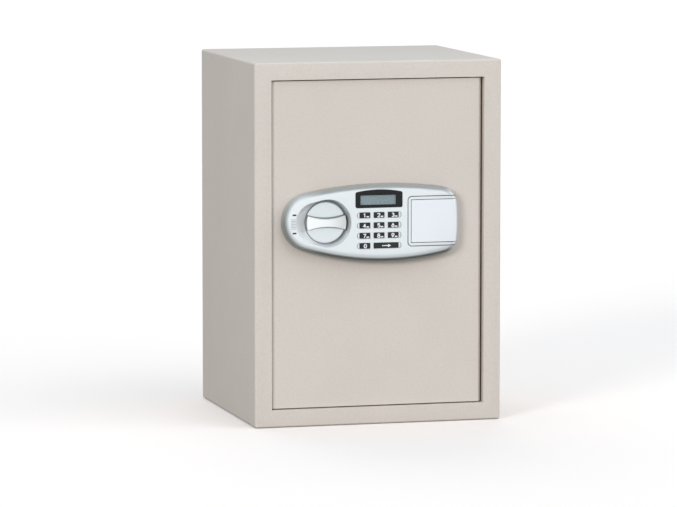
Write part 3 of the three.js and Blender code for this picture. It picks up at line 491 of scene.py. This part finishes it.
def finish_node(name):
    piece = nodes[name]
    slot = slot_of_node[name]
    piece.modifiers.new("weld", "NODES").node_group = WELD
    flat = piece.modifiers.new("flat", "DECIMATE")
    flat.decimate_type = "DISSOLVE"
    flat.angle_limit = math.radians(0.4)
    ease = EASE.get(slot, DEFAULT_EASE)
    if ease:
        bevel = piece.modifiers.new("ease", "BEVEL")
        bevel.width = ease * MM
        bevel.segments = 2
        bevel.limit_method = "ANGLE"
        bevel.angle_limit = math.radians(32)
        bevel.harden_normals = True
    piece.material_slots[0].link = "OBJECT"
    piece.material_slots[0].material = finishes["housing" if name == "panel_housing" else slot]


for node_name in nodes:
    finish_node(node_name)


# ---- Pieces made here ----


def add_mesh(name, vertices, faces, material, body, smooth=True):
    """A mesh piece that rides on a body."""
    mesh = bpy.data.meshes.new(name)
    mesh.from_pydata([tuple(point) for point in vertices], [], faces)
    mesh.update()
    for face in mesh.polygons:
        face.use_smooth = smooth
    mesh.materials.append(material)
    made = bpy.data.objects.new(name, mesh)
    scene.collection.objects.link(made)
    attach(made, body)
    return made


def prism(name, outline, front, back, material, body):
    """A thin piece parallel to the door, from its outline in X and Z and its two depths in Y."""
    count = len(outline)
    vertices = [(x, depth, z) for depth in (front, back) for x, z in outline]
    faces = [list(range(count)), list(range(2 * count - 1, count - 1, -1))]
    faces += [[(i + 1) % count, i, count + i, count + (i + 1) % count] for i in range(count)]
    return add_mesh(name, vertices, faces, material, body, smooth=False)


def rounded_box(left, right, low, high, radius, steps=6):
    """The outline of a rounded rectangle, anticlockwise seen from the front."""
    corners = [
        (right - radius, low + radius, -90),
        (right - radius, high - radius, 0),
        (left + radius, high - radius, 90),
        (left + radius, low + radius, 180),
    ]
    points = []
    for x, z, start in corners:
        for step in range(steps + 1):
            angle = math.radians(start + 90 * step / steps)
            points.append((x + radius * math.cos(angle), z + radius * math.sin(angle)))
    return points


def knob():
    """The knob as one moulded skin: a round plate whose crowned grip swells towards both ends."""
    radius = KNOB_RADIUS
    base, plate, top = KNOB_HIGH.y, KNOB_HIGH.y - 2.2 * MM, KNOB_LOW.y
    waist = 5.9 * MM  # half the grip's thickness at its middle
    scoop, crown = 76 * MM, 130 * MM  # the radii of its hollow sides and of its crest
    blend, rim = 1.5 * MM, 0.9 * MM  # the width of its flanks, and the radius of the plate's edge

    def grip_half(x):
        return waist + scoop - math.sqrt(scoop**2 - x**2)

    def depth(x, z):
        """How far a point of the front lies in Y."""
        out = math.hypot(x, z)
        share = min(1.0, max(0.0, (grip_half(x) - abs(z)) / blend + 0.5))
        share = share * share * (3 - 2 * share)
        crest = top + crown - math.sqrt(crown**2 - x**2)
        level = plate + (crest - plate) * share
        near = max(0.0, out - (radius - rim))
        return level + rim - math.sqrt(max(0.0, rim**2 - near**2))

    def rows(x):
        """The places across the knob at which a column of its front has points, low to high: close
        together where the grip falls to the plate, and at the rounded rim."""
        reach = math.sqrt(max(0.0, radius**2 - x**2))
        low = min(grip_half(x) - blend / 2, 0.72 * reach)
        high = min(grip_half(x) + blend / 2, 0.86 * reach)
        up = [low * i / inner for i in range(inner)]
        up += [low + (high - low) * i / slope for i in range(slope)]
        up += [high + (reach - high) * math.sin(math.pi / 2 * i / outer) for i in range(outer + 1)]
        return [-z for z in reversed(up[1:])] + up

    inner, slope, outer, columns = 10, 16, 22, 260
    count = 2 * (inner + slope + outer) + 1
    vertices, faces = [], []
    for column in range(1, columns):
        x = -radius * math.cos(math.pi * column / columns)
        vertices += [(KNOB_X + x, depth(x, z), KNOB_Z + z) for z in rows(x)]
    for column in range(columns - 2):
        for row in range(count - 1):
            first = column * count + row
            faces.append((first, first + count, first + count + 1, first + 1))
    left, right = len(vertices), len(vertices) + 1
    vertices += [(KNOB_X + x, depth(x, 0), KNOB_Z) for x in (-radius, radius)]
    last = (columns - 2) * count
    faces += [(left, row, row + 1) for row in range(count - 1)]
    faces += [(right, last + row + 1, last + row) for row in range(count - 1)]
    outline = [left] + [column * count for column in range(columns - 1)] + [right]
    outline += [column * count + count - 1 for column in reversed(range(columns - 1))]
    foot = len(vertices)
    vertices += [(vertices[i][0], base, vertices[i][2]) for i in outline]
    for i, place in enumerate(outline):
        ahead = (i + 1) % len(outline)
        faces.append((place, foot + i, foot + ahead, outline[ahead]))
    faces.append(tuple(foot + i for i in reversed(range(len(outline)))))
    made = add_mesh("knob_skin", vertices, faces, finishes["knob"], body_of_node["knob"])
    made.data.set_sharp_from_angle(angle=math.radians(50))
    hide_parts("knob")


def strip(name, left, right, z, thick, radius, front, back, material):
    """A thin bar on the door with rounded ends, from its two ends in X and its middle in Z."""
    outline = rounded_box(left, right, z - thick / 2, z + thick / 2, radius)
    return prism(name, outline, front, back, material, "door")


def panel_marks():
    """The two dark printed bars that the grip points at, and grey strips of painted shade in the gaps
    between the ribs.
    """
    mark_z, rib_pitch = 12.5 * MM, 2.1 * MM
    for index, side in enumerate((-1, 1)):
        z = KNOB_Z + side * mark_z
        left, right = KNOB_X - 49.9 * MM, KNOB_X - 44.6 * MM
        front, back = PANEL_FACE - 0.05 * MM, PANEL_FACE + 0.55 * MM
        name = f"panel_mark_{index}"
        mark = strip(name, left, right, z, 2.1 * MM, 0.6 * MM, front, back, black_ink)
    for index in range(7):
        z = KNOB_Z + (index - 3) * rib_pitch
        left, right = KNOB_X - 52.2 * MM, KNOB_X - 44.8 * MM
        front, back = PANEL_FACE - 0.02 * MM, PANEL_FACE + 0.2 * MM
        name = f"rib_gap_{index}"
        gap = strip(name, left, right, z, 0.6 * MM, 0.25 * MM, front, back, painted_rib_shade)


def slot_shades():
    """Strips of painted shade at the ends of the four shallow slots that the keys stand in: darker at
    the left ends, fainter at the right.
    """
    first_keys = [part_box(f"key_{digit}") for digit in (1, 4, 7, 0)]
    margin = 4.2 * MM  # how far a slot runs past its keys
    reach, thick = 4.75 * MM, 0.75 * MM  # the radius of its end, and the shade's width
    front, back = PANEL_FACE + 0.15 * MM, PANEL_FACE + 1.15 * MM
    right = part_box("key_3")[1].x + margin
    for row, (low, high) in enumerate(first_keys):
        z = (low.z + high.z) / 2
        left = low.x - margin
        for end, x, start, material in (
            ("left", left + reach, 115, painted_shade),
            ("right", right - reach, -60, faint_painted_shade),
        ):
            turns = [math.radians(start + 130 * step / 12) for step in range(13)]
            outer = [(x + reach * math.cos(turn), z + reach * math.sin(turn)) for turn in turns]
            inner = [
                (x + (reach - thick) * math.cos(turn), z + (reach - 0.4 * thick) * math.sin(turn))
                for turn in reversed(turns)
            ]
            shade = prism(f"slot_{end}_{row}", outer + inner, front, back, material, "door")


def cover_line():
    """A dark strip of painted shade at the foot of the thin groove that runs round the sliding cover.
    """
    half, out, corner = 0.5 * MM, 5.1 * MM, 5.5 * MM
    left, right = COVER_LOW.x - out, COVER_HIGH.x - corner
    low, high = COVER_LOW.z - out, COVER_HIGH.z + out

    def track(shift):
        """A line beside the groove's middle: along the top, round the two left corners, and back."""
        points = [(right, high + shift)]
        for start, z in ((90, high - corner), (180, low + corner)):
            for step in range(13):
                turn = math.radians(start + 90 * step / 12)
                reach = corner + shift
                points.append((left + corner + reach * math.cos(turn), z + reach * math.sin(turn)))
        return points + [(right, low - shift)]

    outer, inner = track(half), track(-half)
    count = len(outer)
    depth = PANEL_FACE + 0.45 * MM
    vertices = [(x, depth, z) for x, z in outer + inner]
    faces = [(i + 1, i, count + i, count + i + 1) for i in range(count - 1)]
    made = add_mesh("painted_groove_shade", vertices, faces, painted_shade, "door")
    made.modifiers.new("thick", "SOLIDIFY").thickness = 0.3 * MM


def bend(x, z, across, up, start, end):
    """Points along part of an ellipse, between two angles in degrees."""
    count = max(4, round(abs(end - start) / 15))
    turns = [math.radians(start + (end - start) * i / count) for i in range(count + 1)]
    return [(x + across * math.cos(turn), z + up * math.sin(turn)) for turn in turns]


SIX = [(0.17, 0.43), (-0.08, 0.24)] + bend(0, -0.16, 0.27, 0.27, 155, -205)
DIGITS = {
    "0": [bend(0, 0, 0.28, 0.43, 90, 450)],
    "1": [[(-0.2, 0.24), (0.05, 0.42), (0.05, -0.43)]],
    "2": [bend(0, 0.18, 0.27, 0.25, 165, -35) + [(-0.28, -0.42), (0.3, -0.42)]],
    "3": [bend(0, 0.21, 0.24, 0.21, 150, -80) + bend(0, -0.2, 0.28, 0.23, 80, -150)],
    "4": [[(0.12, 0.42), (-0.3, -0.16), (0.34, -0.16)], [(0.12, 0.42), (0.12, -0.43)]],
    "5": [[(0.26, 0.42), (-0.18, 0.42), (-0.22, 0.06)] + bend(0, -0.14, 0.28, 0.28, 125, -140)],
    "6": [SIX],
    "7": [[(-0.28, 0.42), (0.29, 0.42), (-0.08, -0.43)]],
    "8": [bend(0, 0.21, 0.22, 0.21, -90, 270), bend(0, -0.21, 0.28, 0.23, 90, 450)],
    "9": [[(-x, -z) for x, z in SIX]],
}


def stroke(path, half):
    """A flat ribbon along a path: its points in pairs, one on each side, mitred at the corners."""
    pairs = []
    for i, (x, z) in enumerate(path):
        before, after = path[max(0, i - 1)], path[min(len(path) - 1, i + 1)]
        ways = [(x - before[0], z - before[1]), (after[0] - x, after[1] - z)]
        ways = [Vector(way).normalized() for way in ways if Vector(way).length > 1e-9]
        along = sum(ways, Vector((0, 0))).normalized()
        side = Vector((-along.y, along.x))
        reach = min(1.6, 1 / max(0.3, along.dot(ways[0])))
        pairs += [Vector((x, z)) + side * half * reach, Vector((x, z)) - side * half * reach]
    return pairs


def print_digit(node, words):
    """A digit drawn in bold strokes, and a short dash beside it."""
    low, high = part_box(node)
    tall, body = (high.z - low.z) * 0.78, body_of_node[node]
    alone = words == "0"
    x, z = (low.x + high.x) / 2 - (0.0 if alone else 1.1 * MM), (low.z + high.z) / 2
    face, layer = low.y - 0.02 * MM, 0.035 * MM
    for index, path in enumerate(DIGITS[words]):
        pairs = stroke(path, 0.115)
        step = 0.03 * MM / len(pairs)  # no two crossing parts of the strokes lie in one plane
        vertices = [
            (x + pair.x * tall, face - index * layer - i * step, z + pair.y * tall)
            for i, pair in enumerate(pairs)
        ]
        faces = [(i, i + 2, i + 3, i + 1) for i in range(0, len(pairs) - 2, 2)]
        name = f"{node}_print_{index}"
        made = add_mesh(name, vertices, faces, white_ink, body, smooth=False)
        made.modifiers.new("thick", "SOLIDIFY").thickness = 0.03 * MM
    if not alone:
        left, bottom = x + 2.7 * MM, z - tall * 0.46
        outline = rounded_box(left, left + 3.8 * MM, bottom, bottom + 1.7 * MM, 0.4 * MM)
        front, back = face - 0.03 * MM, face + 0.03 * MM
        dash = prism(f"{node}_dash", outline, front, back, white_ink, body)


def print_enter():
    """A plain arrow on the wide key."""
    low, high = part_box("key_enter")
    x, z = (low.x + high.x) / 2, (low.z + high.z) / 2
    tail, neck, tip, shaft, barb = -6.5, 2.0, 6.5, 0.6, 2.2
    below = [(tail, -shaft), (neck, -shaft), (neck, -barb)]
    above = [(across, -up) for across, up in reversed(below)]
    points = [(x + across * MM, z + up * MM) for across, up in below + [(tip, 0)] + above]
    face = low.y - 0.02 * MM
    body = body_of_node["key_enter"]
    arrow = prism("key_enter_arrow", points, face - 0.03 * MM, face + 0.03 * MM, white_ink, body)


def felt_mat():
    """The compartment's felt mat: a soft sheet with rolled edges, slight waves and loose fibres."""
    low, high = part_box("floor_mat")
    holes = [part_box("base_plug_left"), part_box("base_plug_right")]
    centres = [((a.x + b.x) / 2, (a.y + b.y) / 2) for a, b in holes]
    step = 3 * MM
    across, along = round((high.x - low.x) / step), round((high.y - low.y) / step)
    thick, hole = high.z - low.z, 12 * MM
    build = bmesh.new()
    grid = {}
    for i in range(across + 1):
        for j in range(along + 1):
            x = low.x + (high.x - low.x) * i / across
            y = low.y + (high.y - low.y) * j / along
            edge = min(x - low.x, high.x - x, y - low.y, high.y - y)
            centre = min(centres, key=lambda place: math.hypot(x - place[0], y - place[1]))
            out = math.hypot(x - centre[0], y - centre[1])
            if out < hole - 0.7 * step:
                continue
            if out < hole:
                x, y = (c + (p - c) * hole / out for c, p in zip(centre, (x, y)))
            edge = min(edge, max(0.0, out - hole))
            wave = 0.18 * MM * noise.noise(Vector((x, y, 0)) * 22)
            fuzz = 0.12 * MM * noise.noise(Vector((x, y, 3)) * 260)
            roll = 1 - min(1.0, max(0.0, 1 - edge / (4 * MM))) ** 2 * 0.45
            grid[i, j] = build.verts.new((x, y, low.z + (thick - 0.35 * MM) * roll + wave + fuzz))
    for i in range(across):
        for j in range(along):
            corners = [grid.get(key) for key in ((i, j), (i + 1, j), (i + 1, j + 1), (i, j + 1))]
            if all(corners):
                build.faces.new(corners)
    mesh = bpy.data.meshes.new("felt_mat")
    build.to_mesh(mesh)
    build.free()
    for face in mesh.polygons:
        face.use_smooth = True
    mesh.materials.append(finishes["felt"])
    made = bpy.data.objects.new("felt_mat", mesh)
    scene.collection.objects.link(made)
    solid = made.modifiers.new("thick", "SOLIDIFY")
    solid.thickness = thick * 0.5
    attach(made, "cabinet")
    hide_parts("floor_mat")


knob()
panel_marks()
slot_shades()
cover_line()
for digit in range(10):
    print_digit(f"key_{digit}", str(digit))
print_enter()
felt_mat()


# ---- Stage, light and camera ----


def floor():
    """A pale floor. Its glow is for the camera only, so it doesn't light the safe from below, and
    glossy surfaces look through it to the studio's front wall."""
    mesh = bpy.data.meshes.new("floor")
    build = bmesh.new()
    bmesh.ops.create_grid(build, x_segments=1, y_segments=1, size=60)
    build.to_mesh(mesh)
    build.free()
    made = bpy.data.objects.new("floor", mesh)
    scene.collection.objects.link(made)
    made.location.z = -0.5 * MM  # clear of the safe's base
    material = bpy.data.materials.new("floor")
    material.use_nodes = True
    tree = material.node_tree
    tree.nodes.clear()
    output = tree.nodes.new("ShaderNodeOutputMaterial")
    rays = tree.nodes.new("ShaderNodeLightPath")
    dull = tree.nodes.new("ShaderNodeBsdfDiffuse")
    dull.inputs["Color"].default_value = (0.36, 0.34, 0.32, 1)
    seen = tree.nodes.new("ShaderNodeBsdfDiffuse")
    seen.inputs["Color"].default_value = (0.90, 0.82, 0.765, 1)
    glow = tree.nodes.new("ShaderNodeEmission")
    glow.inputs["Strength"].default_value = 0.12
    both = tree.nodes.new("ShaderNodeAddShader")
    tree.links.new(seen.outputs[0], both.inputs[0])
    tree.links.new(glow.outputs[0], both.inputs[1])
    clear = tree.nodes.new("ShaderNodeBsdfTransparent")
    chosen = dull.outputs[0]
    for ray, shader in (("Is Glossy Ray", clear), ("Is Camera Ray", both)):
        mix = tree.nodes.new("ShaderNodeMixShader")
        tree.links.new(rays.outputs[ray], mix.inputs[0])
        tree.links.new(chosen, mix.inputs[1])
        tree.links.new(shader.outputs[0], mix.inputs[2])
        chosen = mix.outputs[0]
    tree.links.new(chosen, output.inputs[0])
    made.data.materials.append(material)


def toward(azimuth, elevation):
    """The direction from the safe to a lamp; azimuth 0 is straight in front, positive to the right."""
    turn, lift = math.radians(azimuth), math.radians(elevation)
    return Vector((math.sin(turn) * math.cos(lift), -math.cos(turn) * math.cos(lift), math.sin(lift)))


def world():
    """A white room: brighter overhead for soft light, and with one broad bright wall in front for
    what a glossy surface mirrors. The camera itself sees plain white."""
    sky = bpy.data.worlds.new("studio")
    scene.world = sky
    sky.use_nodes = True
    tree = sky.node_tree
    tree.nodes.clear()
    place = tree.nodes.new("ShaderNodeTexCoord")
    rays = tree.nodes.new("ShaderNodeLightPath")

    def gradient(direction, start, end, low, high):
        dot = tree.nodes.new("ShaderNodeVectorMath")
        dot.operation = "DOT_PRODUCT"
        dot.inputs[1].default_value = direction
        tree.links.new(place.outputs["Generated"], dot.inputs[0])
        level = tree.nodes.new("ShaderNodeMapRange")
        level.interpolation_type = "SMOOTHSTEP"
        level.inputs["From Min"].default_value = start
        level.inputs["From Max"].default_value = end
        level.inputs["To Min"].default_value = low
        level.inputs["To Max"].default_value = high
        tree.links.new(dot.outputs["Value"], level.inputs["Value"])
        return level.outputs[0]

    def background(colour, strength):
        node = tree.nodes.new("ShaderNodeBackground")
        node.inputs["Color"].default_value = colour
        if isinstance(strength, float):
            node.inputs["Strength"].default_value = strength
        else:
            tree.links.new(strength, node.inputs["Strength"])
        return node.outputs[0]

    def choose(ray, otherwise, chosen):
        mix = tree.nodes.new("ShaderNodeMixShader")
        tree.links.new(rays.outputs[ray], mix.inputs[0])
        tree.links.new(otherwise, mix.inputs[1])
        tree.links.new(chosen, mix.inputs[2])
        return mix.outputs[0]

    def added(first, second):
        total = tree.nodes.new("ShaderNodeAddShader")
        tree.links.new(first, total.inputs[0])
        tree.links.new(second, total.inputs[1])
        return total.outputs[0]

    overhead = background((0.55, 0.75, 0.94, 1), gradient((0, 0, 1), 0.3, 1.0, 0.0, 0.80))
    ambient = added(background((1, 1, 1, 1), 0.27), overhead)
    wall = background((0.97, 0.99, 1.0, 1), gradient(toward(2, -3), 0.74, 0.96, 0.0, 0.92))
    side = background((0.97, 0.99, 1.0, 1), gradient(toward(82, 0), 0.6, 0.97, 0.0, 1.0))
    left = background((0.97, 0.99, 1.0, 1), gradient(toward(-48, 0), 0.72, 0.98, 0.0, 0.45))
    ceiling = background((0.98, 1.0, 0.98, 1), gradient((0, 0, 1), -0.2, 0.9, 0.10, 0.30))
    mirrored = added(added(wall, side), added(left, ceiling))
    seen = background((1, 1, 1, 1), 1.3)
    output = tree.nodes.new("ShaderNodeOutputWorld")
    lit = choose("Is Glossy Ray", ambient, mirrored)
    tree.links.new(choose("Is Camera Ray", lit, seen), output.inputs[0])


def sun(name, azimuth, elevation, spread, strength):
    lamp = bpy.data.lights.new(name, "SUN")
    lamp.angle = math.radians(spread)
    lamp.energy = strength
    made = bpy.data.objects.new(name, lamp)
    scene.collection.objects.link(made)
    made.rotation_mode = "QUATERNION"
    made.rotation_quaternion = (-toward(azimuth, elevation)).to_track_quat("-Z", "Y")
    made.visible_glossy = False


def camera():
    """The photo's view: from the left and a little above, at 6.2 m through a long lens."""
    lens = bpy.data.cameras.new("camera")
    made = bpy.data.objects.new("camera", lens)
    scene.collection.objects.link(made)
    lens.sensor_width = 36
    lens.lens = 233.8
    lens.clip_end = 100
    made.location = (-1.6099, -5.9275, 0.8981)
    yaw, pitch = math.radians(-15.058), math.radians(-6.308)
    made.rotation_euler = (math.pi / 2 + pitch, 0, yaw)
    scene.camera = made


floor()
world()
sun("key", azimuth=-46, elevation=15, spread=20, strength=1.53)
sun("fill", azimuth=45, elevation=26, spread=80, strength=1.44)
sun("back", azimuth=180, elevation=38, spread=50, strength=0.8)
camera()
scene.view_settings.view_transform = "Standard"
